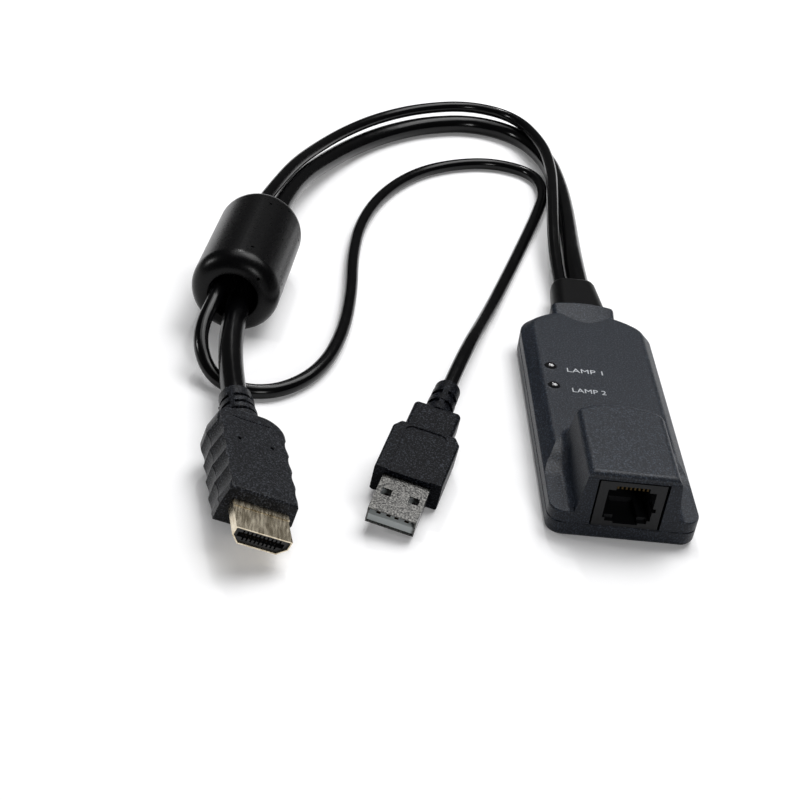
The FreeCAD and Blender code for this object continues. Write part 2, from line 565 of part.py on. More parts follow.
def prism(name, points, start, long):
    """A section drawn as (across, up) and carried along y."""
    item = body(name)
    drawn = sketch(item, name + "Section", "XZ_Plane", offset="- " + start if start != "0" else None)
    outline(drawn, points)
    pad(item, drawn, name + "Run", long, back=True)
    return item


def sides(half, topZ, kneeZ, lowHalf, lowZ):
    return [("- " + lowHalf, lowZ), (lowHalf, lowZ), (half, kneeZ), (half, topZ), ("- " + half, topZ),
            ("- " + half, kneeZ)]


def relief(name, start, end, wide, narrow, rings, groove):
    """The bend relief: a thin stem with rings round it, turned as one section."""
    first, last = value(start), value(end)
    pitch = (last - first) / rings
    points = [(start, "0"), (start, wide)]
    for number in range(rings):
        radius = "%s - %.3f" % (wide, number * (value(wide) - value(narrow)) / (rings - 0.5))
        y = first + pitch * number
        if number:
            points.append(("%s + %.3f" % (start, y - first), radius))
        points += [("%s + %.3f" % (start, y - first + pitch * 0.52), radius),
                   ("%s + %.3f" % (start, y - first + pitch * 0.52), radius + " - " + groove),
                   ("%s + %.3f" % (start, y - first + pitch), radius + " - " + groove)]
    points[-2] = ("%s + %.3f" % (start, y - first + pitch * 0.52), radius)
    points = points[:-2] + [(end, radius), (end, "0")]
    return turned(name, points[::-1])


# video plug
videoOuter = prism("videoOuter", sides("videoWide / 2", "videoHigh / 2", "videoHigh / 2 - videoUpright",
                                       "videoNarrow / 2", "- videoHigh / 2"), "0", "videoOut + 3")
inner = sides("videoWide / 2 - videoSkin", "videoHigh / 2 - videoSkin", "videoHigh / 2 - videoUpright + 0.12",
              "videoNarrow / 2 - 0.12", "- videoHigh / 2 + videoSkin")
inner = [(a.replace("- videoWide / 2 -", "- videoWide / 2 +").replace("- videoNarrow / 2 -", "- videoNarrow / 2 +"), b)
         for a, b in inner]
videoRoom = prism("videoRoom", inner, "0", "videoOut + 3")
band = prism("videoBand", sides("videoWide / 2 + 0.22", "videoHigh / 2 + 0.22", "videoHigh / 2 - videoUpright",
                                "videoNarrow / 2 + 0.2", "- videoHigh / 2 - 0.22"), "videoBandY", "2.4")
videoOuter = join("videoOuterWhole", [videoOuter, band])
shell = carve("videoShellCut", videoOuter, [videoRoom])
filler = prism("videoFiller", inner, "0.5", "videoOut + 2.5")
slot = brick("videoSlot", "- 5.7", "0", "- 0.62", "11.4", "7.5", "1.3")
bites = []
for number in range(10):
    bites.append(brick("biteTop%d" % number, "- 4.5 + %.1f - 0.22" % number, "0", "0.6", "0.44", "1.6", "0.75"))
for number in range(9):
    bites.append(brick("biteLow%d" % number, "- 4 + %.1f - 0.22" % number, "0", "- 1.35", "0.44", "1.6", "0.75"))
insulator = carve("videoFillerCut", filler, [slot] + bites)
blades = [brick("bladeTop%d" % number, "- 4.5 + %.1f - 0.16" % number, "1.7", "0.5", "0.32", "5.6", "0.18")
          for number in range(10)]
blades += [brick("bladeLow%d" % number, "- 4 + %.1f - 0.16" % number, "1.7", "- 0.62", "0.32", "5.6", "0.18")
           for number in range(9)]
over = body("videoOverBody")
wide, rear = "videoBodyWide / 2", "videoOut + videoBodyLong"
plan = [("- %s + 0.4" % wide, "videoOut"), (wide + " - 0.4", "videoOut"), (wide, "videoOut + 5"),
        (wide + " + 0.2", rear + " - videoShoulder"), (wide + " + 0.2 - videoShoulder", rear),
        ("- %s - 0.2 + videoShoulder" % wide, rear), ("- %s - 0.2" % wide, rear + " - videoShoulder"),
        ("- " + wide, "videoOut + 5")]
for mark, down in (("High", False), ("Low", True)):
    drawn = sketch(over, "videoOver" + mark)
    outline(drawn, plan, {3: "videoShoulder", 5: "videoShoulder"})
    step = pad(over, drawn, "videoOverPad" + mark, "videoBodyHigh / 2", taper="- videoCrown", back=down)
half = value("videoBodyHigh / 2")
step = soften(over, step, "videoEdges", "videoBodyRound",
              lambda e, m: level(e, half) or level(e, -half))
tail, step = relief("videoRelief", "videoOut + videoBodyLong - 1", "videoReliefEnd", "videoReliefWide",
                    "videoReliefNarrow", 4, "0.95")
long = "videoReliefEnd - videoOut - videoBodyLong - 1"
webs = join("videoWebs", [brick("videoWebSide", "- 4.5", "videoOut + videoBodyLong - 1", "- 0.6", "9", long, "1.2"),
                          brick("videoWebTop", "- 0.6", "videoOut + videoBodyLong - 1", "- 4.5", "1.2", long, "9")])
webs.Placement = FreeCAD.Placement(V(), FreeCAD.Rotation(V(0, 1, 0), 45))
whole = join("videoOverWhole", [over, tail, webs])
grips = []
for side, lean in (("", -1), ("", 181), ("- ", 1), ("- ", 179)):
    for number in range(4):
        flute = doc.addObject("Part::Cylinder", "flute")
        crown = value("videoCrown")
        turn = {-1: -crown, 181: 180 + crown, 1: crown, 179: 180 - crown}[lean]
        flute.Placement = FreeCAD.Placement(V(), FreeCAD.Rotation(V(0, 1, 0), turn))
        grips.append(bind(flute, Radius="7", Height="videoBodyHigh", Placement_Base_z="0",
                          Placement_Base_y="videoOut + 4.6 + %.1f" % (number * 6.2),
                          Placement_Base_x=side + "videoBodyWide / 2 " + ("-" if side else "+") + " 6.4"))
for side, x in (("Right", "videoBodyWide / 2 - 0.8"), ("Left", "- videoBodyWide / 2 - 1.2")):
    grips.append(brick("parting" + side, x, "videoOut + 1", "- 0.11", "2", "videoBodyLong - 8", "0.22"))
pits = [rod("pit%d" % number, x, "29.9", "videoBodyHigh / 2 - 0.5", "0.55", "2")
        for number, x in enumerate(("- 4.3", "4.3"))]
pits.append(brick("topLine", "- 5", "videoOut + 29.2", "videoBodyHigh / 2 - 0.25", "10", "0.4", "1"))
videoPart = [("video_plug_overmould", carve("videoOver", whole, [videoOuter] + grips + pits)),
             ("video_plug_shell", shell), ("video_plug_insulator", insulator),
             ("video_plug_contacts", join("videoBlades", blades, "Compound"))]

# data plug
dataOuter = prism("dataOuter", [("- dataWide / 2", "- dataHigh / 2"), ("dataWide / 2", "- dataHigh / 2"),
                                ("dataWide / 2", "dataHigh / 2"), ("- dataWide / 2", "dataHigh / 2")],
                  "0", "dataOut + 4")
dataRoom = brick("dataRoom", "- dataWide / 2 + dataSkin", "0", "- dataHigh / 2 + dataSkin",
                 "dataWide - dataSkin * 2", "dataOut + 4", "dataHigh - dataSkin * 2")
windows = [brick("window%s%d" % (mark, number), x, "5.9", z, "2.5", "2.5", "1")
           for number, x in enumerate(("- 4.7", "2.2"))
           for mark, z in (("Top", "dataHigh / 2 - 0.7"), ("Low", "- dataHigh / 2 - 0.3"))]
windows.append(rod("dimple", "0.1", "10.9", "dataHigh / 2 - 0.15", "0.65", "1"))
dataShell = carve("dataShellCut", dataOuter, [dataRoom] + windows)
tongue = brick("dataTongue", "- dataWide / 2 + dataSkin", "0.6", "- dataHigh / 2 + dataSkin",
               "dataWide - dataSkin * 2", "dataOut + 3.4", "1.85")
strips = [brick("strip%d" % number, x, "1.6", "- dataHigh / 2 + dataSkin + 1.85", "1", "7.4", "0.12")
          for number, x in enumerate(("- 4", "- 1.5", "0.5", "3"))]
over = body("dataOverBody")
drawn = sketch(over, "dataOverPlan", offset="- dataBodyHigh / 2")
wide = "dataBodyWide / 2"
outline(drawn, [("- " + wide, "dataOut"), (wide, "dataOut"), (wide + " + 0.15", "dataRear - dataShoulder"),
                (wide + " - 1.4", "dataRear"), ("- %s + 1.4" % wide, "dataRear"),
                ("- %s - 0.15" % wide, "dataRear - dataShoulder")])
step = pad(over, drawn, "dataOverPad", "dataBodyHigh")
step = soften(over, step, "dataShoulders", "0.8",
              lambda e, m: upright(e, m) and m.y > value("dataOut + 5"))
half = value("dataBodyHigh / 2")
step = soften(over, step, "dataEdges", "dataBodyRound",
              lambda e, m: (level(e, half) or level(e, -half)) and m.y > value("dataOut") + 0.1)
drawn = sketch(over, "panelPlan", offset="dataBodyHigh / 2")
outline(drawn, [("- 5.4", "dataOut - 1"), ("5.4", "dataOut - 1"), ("5.4", "dataRear - 3.1"), ("3.4", "dataRear - 1.1"),
                ("- 3.4", "dataRear - 1.1"), ("- 5.4", "dataRear - 3.1")], {2: "2", 4: "2"})
step = pocket(over, drawn, "panelPocket", "0.3")
neck = body("dataNeckBody")
drawn = sketch(neck, "dataNeckPlan", offset="- dataNeckHigh / 2")
block(drawn, "- dataNeckWide / 2", "dataOut + dataBodyLong - 1", "dataNeckWide / 2", "dataNeckEnd")
step = pad(neck, drawn, "dataNeckPad", "dataNeckHigh")
step = soften(neck, step, "dataNeckEdges", "1.2", lambda e, m: m.y > value("dataRear"))
tail, step = relief("dataRelief", "dataNeckEnd - 1", "dataReliefEnd", "dataReliefWide", "dataReliefNarrow", 3,
                    "0.8")
webs = [brick("dataWebSide", "- 3.5", "dataNeckEnd - 1", "- 0.7", "7", "dataReliefEnd - dataNeckEnd - 1", "1.4"),
        brick("dataWebTop", "- 0.7", "dataNeckEnd - 1", "- 3.5", "1.4", "dataReliefEnd - dataNeckEnd - 1", "7")]
lineRight = brick("dataLineRight", "dataBodyWide / 2 - 0.25", "dataOut + 1", "0.4", "2", "dataBodyLong - 5", "0.25")
lineLeft = brick("dataLineLeft", "- dataBodyWide / 2 - 1.75", "dataOut + 1", "0.4", "2", "dataBodyLong - 5", "0.25")
dataPart = [("data_plug_overmould", carve("dataOver", join("dataOverWhole", [over, neck, tail] + webs),
                                       [dataOuter, lineRight, lineLeft])),
            ("data_plug_shell", dataShell), ("data_plug_tongue", join("tongueAlone", [tongue], "Compound")),
            ("data_plug_contacts", join("dataStrips", strips, "Compound"))]
doc.recompute()

places = {}
for key, pieces in (("video", videoPart), ("data", dataPart)):
    sign = 1 if key == "video" else -1
    pose = [-value(key + "X"), -value(key + "Y"), sign * value(key + "Turn"), value(key + "Tip"), value(key + "Roll")]
    flat = plugPlace(*pose, 0)
    low = min(lowest(piece.Shape, flat) for name, piece in pieces)
    places[key] = plugPlace(*pose, low)
    print(key, "mouth height", -low)
    for name, piece in pieces:
        keep(piece, name, places[key])


# cords: straight runs joined by arcs that touch both, round section carried along the route
def tube(name, points, radius):
    edges, start, length, tightest = [], points[0], 0.0, 1e9
    for before, here, after in zip(points, points[1:], points[2:]):
        back, ahead = before - here, after - here
        reach = 0.45 * min(back.Length, ahead.Length)
        turn = math.pi - back.getAngle(ahead)
        bend = reach / math.tan(turn / 2)
        tightest = min(tightest, bend)
        back.normalize()
        ahead.normalize()
        inward = (back + ahead).normalize()
        enter, leave = here + back * reach, here + ahead * reach
        middle = here + inward * (bend / math.cos(turn / 2) - bend)
        edges += [Part.LineSegment(start, enter).toShape(), Part.Arc(enter, middle, leave).toShape()]
        length += (enter - start).Length + bend * turn
        start = leave
    edges.append(Part.LineSegment(start, points[-1]).toShape())
    length += (points[-1] - start).Length
    path = Part.Wire(edges)
    section = Part.Wire([Part.makeCircle(radius, points[0], points[1] - points[0])])
    made = doc.addObject("Part::Feature", name)
    made.Shape = path.makePipeShell([section], True, False)
    share = made.Shape.Volume / (math.pi * radius ** 2 * length)
    print(name, "length %.1f tightest bend %.1f volume share %.4f low %.2f"
          % (length, tightest, share, made.Shape.optimalBoundingBox().ZMin))
    keep(made, name)


def ending(key, long):
    """The last two points of a route, in line with the plug's bend relief."""
    end = value(key + "ReliefEnd")
    return [places[key].multVec(V(0, end + long, 0)), places[key].multVec(V(0, end, 0))]


exitY, exitZ = value("gripEndY - cordIn"), value("gripZ")
videoRoute = [V(value("videoCordX"), exitY, exitZ), V(value("videoCordX"), 83, exitZ), V(3.2, 104, 4.0),
              V(4.3, 126, 3.4), V(4.2, 148, 3.35), V(2.2, 170, 3.35), V(-6.4, 189, 3.35), V(-24, 196.4, 3.35),
              V(-43, 189, 3.35), V(-58.5, 175.6, 3.4), V(-70.6, 159.2, 3.8), V(-79.6, 139.8, 5.6),
              V(-86.8, 119.5, 8.3), V(-91.2, 99, 9.8), V(-94.2, 79, 10.1), V(-97.1, 51, 9.8),
              V(-100.4, 24, 10)] + ending("video", 16)
dataRoute = [V(-value("dataCordX"), exitY, exitZ), V(-value("dataCordX"), 83, exitZ), V(-2.8, 104, 7.6),
             V(-1.0, 126, 9.0), V(0.8, 148.6, 9.1), V(-0.4, 171, 9.0), V(-8.6, 193.4, 8.9), V(-26, 199.8, 8.9),
             V(-45.4, 191.2, 8.9), V(-61, 177.2, 8.95), V(-73, 160, 9.4), V(-82, 139.4, 11.3), V(-89, 118.2, 13.9),
             V(-94.2, 98.2, 14.8), V(-99, 78, 15), V(-102.1, 51, 15.2), V(-105.6, 26, 14.6), V(-109, 11.4, 9.6),
             V(-104.6, 2.2, 3.2), V(-95, -2.4, 2.05), V(-84.5, 0.4, 2), V(-75, 12.5, 2.05), V(-69.8, 32, 2),
             V(-67.8, 56, 2.05), V(-68, 80, 2), V(-65.8, 104, 2.05), V(-58.6, 128, 2), V(-47, 147.4, 2.05),
             V(-33.5, 158.6, 2), V(-18, 164, 2.05), V(-3.4, 158.6, 2), V(-1, 143, 2.05), V(-5.4, 124.6, 2),
             V(-12.4, 100, 2.05), V(-19.5, 76, 2), V(-26.8, 52, 2.3)]
dataRoute += ending("data", 20)
tube("video_cord", videoRoute, value("videoCord") / 2)
tube("data_cord", dataRoute, value("dataCord") / 2)

doc.recompute()
os.makedirs("parts", exist_ok=True)
for item in doc.Objects:
    if "Invalid" in item.State or "Error" in item.State:
        raise ValueError("not built: " + item.Name)
for name, item in nodes:
    shape = item.Shape
    if shape.isNull() or not shape.isValid() or not shape.Solids:
        raise ValueError("bad shape: " + name)
    shape.exportStep("parts/%s.step" % name)
    box = shape.optimalBoundingBox()
    print("%-24s solids %2d volume %9.1f  x %.1f %.1f  y %.1f %.1f  z %.2f %.2f" % (
        name, len(shape.Solids), shape.Volume, box.XMin, box.XMax, box.YMin, box.YMax, box.ZMin, box.ZMax))
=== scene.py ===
import bpy
import math
from mathutils import Matrix, Vector


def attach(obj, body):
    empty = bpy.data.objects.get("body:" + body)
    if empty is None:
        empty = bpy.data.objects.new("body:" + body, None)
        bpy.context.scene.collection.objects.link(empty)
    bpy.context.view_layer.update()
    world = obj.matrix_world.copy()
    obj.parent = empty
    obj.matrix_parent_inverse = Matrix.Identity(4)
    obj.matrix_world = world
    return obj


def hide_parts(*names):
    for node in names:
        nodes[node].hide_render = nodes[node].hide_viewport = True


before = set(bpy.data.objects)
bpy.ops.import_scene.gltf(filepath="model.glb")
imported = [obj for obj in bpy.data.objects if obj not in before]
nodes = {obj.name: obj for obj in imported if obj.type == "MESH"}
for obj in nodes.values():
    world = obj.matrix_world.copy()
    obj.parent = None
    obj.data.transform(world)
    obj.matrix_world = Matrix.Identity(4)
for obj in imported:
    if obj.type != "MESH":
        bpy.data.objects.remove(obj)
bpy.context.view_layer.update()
bpy.ops.object.select_all(action="DESELECT")  # the loaded nodes come in selected
print("frame loaded:", len(nodes), "nodes")

toneA, toneB, toneOut = 6, 7, 2  # a colour Mix node's two tones and its result


def metres(sizes):  # a point given in mm
    return [size / 1000 for size in sizes]


def mm(size):  # texture scale for a feature of that many mm
    return 1000 / size


def linear(code):  # sRGB hex to linear colour
    shares = [int(code[i:i + 2], 16) / 255 for i in (1, 3, 5)]
    return tuple(share / 12.92 if share <= 0.04045 else ((share + 0.055) / 1.055) ** 2.4
                 for share in shares) + (1.0,)


def addNode(tree, kind, values=None, links=None, **settings):  # one node with all that it needs
    node = tree.nodes.new(kind)
    for key, amount in settings.items():
        setattr(node, key, amount)
    for key, amount in (values or {}).items():
        node.inputs[key].default_value = amount
    for key, source in (links or {}).items():
        tree.links.new(source, node.inputs[key])
    return node


def startMaterial(name):
    material = bpy.data.materials.new(name)
    material.use_nodes = True
    tree = material.node_tree
    tree.nodes.clear()
    return material, tree


def endMaterial(tree, shader):
    addNode(tree, "ShaderNodeOutputMaterial", links={"Surface": shader.outputs[0]})


# camera: low and to the left, rolled a little
camera = {
    "place": (-81.87, -311.48, 208.76),  # mm
    "turn": 5.18, "down": 33.34, "roll": 8.59,  # degrees
    "lens": 63.28, "sensor": 36,  # mm
    "near": 0.01, "far": 20,  # m
}


def aimCamera(settings):
    turn, down, roll = (math.radians(settings[key]) for key in ("turn", "down", "roll"))
    ahead = Vector((math.sin(turn) * math.cos(down), math.cos(turn) * math.cos(down),
                    -math.sin(down)))
    right = ahead.cross(Vector((0, 0, 1))).normalized()
    up = right.cross(ahead)
    rightRolled = right * math.cos(roll) + up * math.sin(roll)
    upRolled = up * math.cos(roll) - right * math.sin(roll)
    bpy.ops.object.camera_add()
    made = bpy.context.object
    made.name = "viewCamera"
    made.data.lens = settings["lens"]
    made.data.sensor_width = settings["sensor"]
    made.data.clip_start = settings["near"]
    made.data.clip_end = settings["far"]
    turned = Matrix((rightRolled, upRolled, -ahead)).transposed().to_4x4()
    made.matrix_world = Matrix.Translation(metres(settings["place"])) @ turned
    bpy.context.scene.camera = made


aimCamera(camera)
print("camera placed")

# studio: a white table that throws little light back, a dim even room,
# broad soft lamps and two small ones for glints
studio = {
    "room": 0.07,  # strength
    "lamps": [  # name, place, aim, size, watts
        ("keyLamp", (0.40, 0.52, 1.12), (-0.03, 0.07, 0), 0.80, 11.2),
        ("topLamp", (0.00, 0.42, 1.20), (-0.03, 0.07, 0), 0.80, 5.5),
        ("glintLamp", (-0.10, 0.85, 0.90), (-0.03, 0.07, 0), 0.08, 2.0),
        ("frontLamp", (0.30, -1.00, 0.50), (-0.03, 0.07, 0), 0.30, 3.2),
        ("leftLamp", (-0.95, 0.05, 0.42), (-0.10, 0.03, 0), 0.16, 2.0),
    ],
}
table = {
    "wide": 6, "sunk": 0.0002,  # m
    "shown": "#f7f7f8", "thrown": "#444444",  # what is seen, and what lights the object
    "glow": 0.09,  # strength, where it is seen
}


def lightRoom(settings):
    world = bpy.data.worlds.new("evenWorld")
    bpy.context.scene.world = world
    world.use_nodes = True
    tree = world.node_tree
    tree.nodes.clear()
    room = addNode(tree, "ShaderNodeBackground",
                   {"Color": (1, 1, 1, 1), "Strength": settings["room"]})
    addNode(tree, "ShaderNodeOutputWorld", links={"Surface": room.outputs[0]})
    for name, place, aim, size, watts in settings["lamps"]:
        bpy.ops.object.light_add(type="AREA", location=place)
        lamp = bpy.context.object
        lamp.name = name
        lamp.data.energy = watts
        lamp.data.size = size
        facing = Vector(aim) - Vector(place)
        lamp.rotation_euler = facing.to_track_quat("-Z", "Y").to_euler()


def layTable(settings):
    bpy.ops.mesh.primitive_plane_add(size=settings["wide"], location=(0, 0, -settings["sunk"]))
    top = bpy.context.object
    top.name = "whiteTable"
    material, tree = startMaterial("whiteTableTop")
    rays = addNode(tree, "ShaderNodeLightPath")
    shiny = addNode(tree, "ShaderNodeMath", operation="MAXIMUM",
                    links={0: rays.outputs["Is Glossy Ray"],
                           1: rays.outputs["Is Transmission Ray"]})
    seen = addNode(tree, "ShaderNodeMath", operation="MAXIMUM",
                   links={0: rays.outputs["Is Camera Ray"], 1: shiny.outputs[0]})
    tone = addNode(tree, "ShaderNodeMix",
                   {toneA: linear(settings["thrown"]), toneB: linear(settings["shown"])},
                   {"Factor": seen.outputs[0]}, data_type="RGBA")
    paper = addNode(tree, "ShaderNodeBsdfDiffuse", None, {"Color": tone.outputs[toneOut]})
    dark = addNode(tree, "ShaderNodeEmission", {"Color": (0, 0, 0, 1), "Strength": 0.0})
    glow = addNode(tree, "ShaderNodeEmission",
                   {"Color": (1, 1, 1, 1), "Strength": settings["glow"]})
    lift = addNode(tree, "ShaderNodeMixShader",
                   links={0: seen.outputs[0], 1: dark.outputs[0], 2: glow.outputs[0]})
    whole = addNode(tree, "ShaderNodeAddShader",
                    links={0: paper.outputs[0], 1: lift.outputs[0]})
    endMaterial(tree, whole)
    top.data.materials.append(material)


lightRoom(studio)
layTable(table)
bpy.context.scene.view_settings.view_transform = "Standard"
print("studio set")

# etched plastics: a mould etched with acid leaves a satin face of fine pits that glint; that glint
# is also painted into the colour as lighter flecks, a painted highlight.
# The real grain is about 0.1 mm, too fine to show, so it is drawn four times as coarse.
housing = {  # charcoal ABS
    "colour": "#10141b", "light": "#161a22", "paintedGlint": "#3a414c",
    "roughness": 0.40, "shine": 0.20,
    "grain": 0.42, "share": 0.51,  # mm, and the share of the grain with no painted glint
}
videoMould = {  # black PVC of the video plug
    "colour": "#08090c", "light": "#0d0e12", "paintedGlint": "#43464c",
    "roughness": 0.36, "shine": 0.14, "grain": 0.42, "share": 0.51,
}
dataMould = {  # blacker PVC of the data plug
    "colour": "#030407", "light": "#05060a", "paintedGlint": "#363940",
    "roughness": 0.35, "shine": 0.05, "grain": 0.42, "share": 0.52,
}
etch = {
    "cloud": 9.0,  # mm, the slow drift from one tone to the other
    "fade": 0.14,  # from no painted glint to a full one
    "swing": 0.08,  # roughness, up in the pits and down on the ridges
    "relief": 0.6, "depth": 0.00016,  # bump strength, and m
}

# smooth vinyls: extruded or moulded PVC, deep black with a soft shine that wavers a little
jacket = {  # the cords, pulled through a die
    "colour": "#040405", "roughness": 0.17, "shine": 0.2,
    "ripple": 5.0, "relief": 0.12, "depth": 0.0004,  # mm, bump strength, m
}
tail = {  # the grommet, duller
    "colour": "#050506", "roughness": 0.38, "shine": 0.10,
    "ripple": 0.5, "relief": 0.3, "depth": 0.00005,
}
bead = {  # the bead's sleeve
    "colour": "#040405", "roughness": 0.27, "shine": 0.15,
    "ripple": 0.6, "relief": 0.3, "depth": 0.00005,
}
waver = {"polished": -0.05, "dulled": 0.09}  # roughness
wear = {"polished": -0.1, "dulled": 0.12}  # roughness of metals
smooth = {"relief": 0.15, "depth": 0.00005}  # bump strength, and m


def etchedPlastic(name, settings):
    material, tree = startMaterial(name)
    place = addNode(tree, "ShaderNodeTexCoord").outputs["Object"]
    grain = addNode(tree, "ShaderNodeTexNoise",
                    {"Scale": mm(settings["grain"]), "Detail": 3.0, "Roughness": 0.6},
                    {"Vector": place}).outputs[0]
    cloud = addNode(tree, "ShaderNodeTexNoise", {"Scale": mm(etch["cloud"]), "Detail": 2.0},
                    {"Vector": place}).outputs[0]
    tint = addNode(tree, "ShaderNodeMix",
                   {toneA: linear(settings["colour"]), toneB: linear(settings["light"])},
                   {"Factor": cloud}, data_type="RGBA")
    # painted highlight: where the grain rises past the share, the colour turns to the lighter
    # glint colour, standing in for light sparkling on the pits
    paintedGlintMask = addNode(tree, "ShaderNodeMapRange",
                    {"From Min": settings["share"], "From Max": settings["share"] + etch["fade"]},
                    {"Value": grain})
    paintedGlintTint = addNode(tree, "ShaderNodeMix", {toneB: linear(settings["paintedGlint"])},
                    {"Factor": paintedGlintMask.outputs[0], toneA: tint.outputs[toneOut]}, data_type="RGBA")
    rough = addNode(tree, "ShaderNodeMapRange",
                    {"To Min": settings["roughness"] + etch["swing"],
                     "To Max": settings["roughness"] - etch["swing"]}, {"Value": grain})
    bump = addNode(tree, "ShaderNodeBump",
                   {"Strength": etch["relief"], "Distance": etch["depth"]}, {"Height": grain})
    shader = addNode(tree, "ShaderNodeBsdfPrincipled", {"Specular IOR Level": settings["shine"]},
                     {"Base Color": paintedGlintTint.outputs[toneOut], "Roughness": rough.outputs[0],
                      "Normal": bump.outputs[0]})
    endMaterial(tree, shader)
    return material


def softVinyl(name, settings):
    material, tree = startMaterial(name)
    place = addNode(tree, "ShaderNodeTexCoord").outputs["Object"]
    ripple = addNode(tree, "ShaderNodeTexNoise", {"Scale": mm(settings["ripple"]), "Detail": 2.0},
                     {"Vector": place}).outputs[0]
    rough = addNode(tree, "ShaderNodeMapRange",
                    {"To Min": settings["roughness"] + waver["polished"],
                     "To Max": settings["roughness"] + waver["dulled"]}, {"Value": ripple})
    bump = addNode(tree, "ShaderNodeBump",
                   {"Strength": settings["relief"], "Distance": settings["depth"]},
                   {"Height": ripple})
    shader = addNode(tree, "ShaderNodeBsdfPrincipled",
                     {"Base Color": linear(settings["colour"]),
                      "Specular IOR Level": settings["shine"]},
                     {"Roughness": rough.outputs[0], "Normal": bump.outputs[0]})
    endMaterial(tree, shader)
    return material


def platedMetal(name, dark, light, roughness, size, stretch=(1, 1, 1), edge=(0, 1)):
    material, tree = startMaterial(name)
    place = addNode(tree, "ShaderNodeTexCoord").outputs["Object"]
    drawn = addNode(tree, "ShaderNodeMapping", {"Scale": stretch}, {"Vector": place})
    patch = addNode(tree, "ShaderNodeTexNoise", {"Scale": mm(size), "Detail": 3.0},
                    {"Vector": drawn.outputs[0]}).outputs[0]
    sharp = addNode(tree, "ShaderNodeMapRange", {"From Min": edge[0], "From Max": edge[1]},
                    {"Value": patch})
    tint = addNode(tree, "ShaderNodeMix", {toneA: linear(dark), toneB: linear(light)},
                   {"Factor": sharp.outputs[0]}, data_type="RGBA")
    rough = addNode(tree, "ShaderNodeMapRange",
                    {"To Min": roughness + wear["polished"], "To Max": roughness + wear["dulled"]},
                    {"Value": patch})
    shader = addNode(tree, "ShaderNodeBsdfPrincipled", {"Metallic": 1.0},
                     {"Base Color": tint.outputs[toneOut], "Roughness": rough.outputs[0]})
    endMaterial(tree, shader)
    return material


def plainMould(name, dark, light, roughness, size, shine=0.5):
    material, tree = startMaterial(name)
    place = addNode(tree, "ShaderNodeTexCoord").outputs["Object"]
    patch = addNode(tree, "ShaderNodeTexNoise", {"Scale": mm(size), "Detail": 2.0},
                    {"Vector": place}).outputs[0]
    tint = addNode(tree, "ShaderNodeMix", {toneA: linear(dark), toneB: linear(light)},
                   {"Factor": patch}, data_type="RGBA")
    bump = addNode(tree, "ShaderNodeBump",
                   {"Strength": smooth["relief"], "Distance": smooth["depth"]},
                   {"Height": patch})
    shader = addNode(tree, "ShaderNodeBsdfPrincipled",
                     {"Roughness": roughness, "Specular IOR Level": shine},
                     {"Base Color": tint.outputs[toneOut], "Normal": bump.outputs[0]})
    endMaterial(tree, shader)
    return material


finishes = {  # by node; each size is that of the mottling in mm
    "upper_shell": etchedPlastic("etchedCharcoalShell", housing),
    "lower_shell": etchedPlastic("etchedCharcoalTray", housing),
    "video_plug_overmould": etchedPlastic("etchedPlugVinyl", videoMould),
    "data_plug_overmould": etchedPlastic("etchedDarkVinyl", dataMould),
    "cord_grommet": softVinyl("grommetVinyl", tail),
    "ferrite_jacket": softVinyl("beadVinyl", bead),
    # polished smoked polycarbonate: near black until a lamp glints in its dome
    "power_lens": plainMould("smokedLens", "#0c0d0f", "#131416",
                             roughness=0.07, size=3.0, shine=1.0),
    # glass-filled nylon: flat dark grey, a little cloudy
    "network_jack_body": plainMould("jackNylon", "#101113", "#151618",
                                    roughness=0.5, size=0.8, shine=0.25),
    # thin gold flash over bronze, its colour darkened to a dull brown as painted shade for the
    # dark of the jack; the plug contacts share it
    "network_jack_contacts": platedMetal("shadeDarkenedGoldContact", "#2a2216", "#43361f",
                                         roughness=0.50, size=0.6),
    # nickel plate on a pressed shell: warm, streaked along the way it was drawn
    "video_plug_shell": platedMetal("warmNickel", "#b3a489", "#f3e9d3", roughness=0.26,
                                    size=0.6, stretch=(1, 0.15, 1), edge=(0.25, 0.8)),
    # nickel plate rubbed grey by use: dark with brighter specks
    "data_plug_shell": platedMetal("mottledNickel", "#333333", "#7b7a77", roughness=0.26,
                                   size=0.45, edge=(0.36, 0.85)),
    "video_plug_insulator": plainMould("blackInsulator", "#0a0a0a", "#111112",
                                       roughness=0.55, size=0.5),  # matt black polyester
    # white polyester, slightly glossy from the mould
    "data_plug_tongue": plainMould("whiteTongue", "#e6eeee", "#f2f8f8", roughness=0.3, size=1.2),
    # what is inside: solder mask over glass cloth, clear epoxy, matt black epoxy,
    # undyed nylon, grey wire jackets, zinc on steel, fired ferrite
    "circuit_board": plainMould("greenBoard", "#0d3a20", "#12482a", roughness=0.35, size=2.0),
    "power_led": plainMould("clearDiode", "#c8cdbe", "#dde0d4", roughness=0.2, size=0.5),
    "main_processor": plainMould("chipEpoxy", "#131314", "#191a1b", roughness=0.5, size=0.6),
    "video_wire_header": plainMould("naturalNylon", "#d4d0c2", "#dedacd",
                                    roughness=0.5, size=0.9),
    "video_wire_lead": plainMould("bundledWire", "#55585c", "#777a7e", roughness=0.45, size=0.7),
    "case_screws": platedMetal("zincScrew", "#7f8286", "#a5a8ab", roughness=0.35, size=0.5),
    "ferrite_core": plainMould("sinteredFerrite", "#26272a", "#303135", roughness=0.6, size=0.4),
}
sharedFinishes = {
    "active_lens": "power_lens", "active_led": "power_led",
    "memory_chip": "main_processor", "network_transformer": "main_processor",
    "data_wire_header": "video_wire_header", "data_wire_lead": "video_wire_lead",
    "video_plug_contacts": "network_jack_contacts",
    "data_plug_contacts": "network_jack_contacts",
}
cordFinish = softVinyl("cordVinyl", jacket)
finishes["video_cord"] = finishes["data_cord"] = cordFinish
for name, node in nodes.items():
    node.material_slots[0].material = finishes[sharedFinishes.get(name, name)]
print("finishes on")

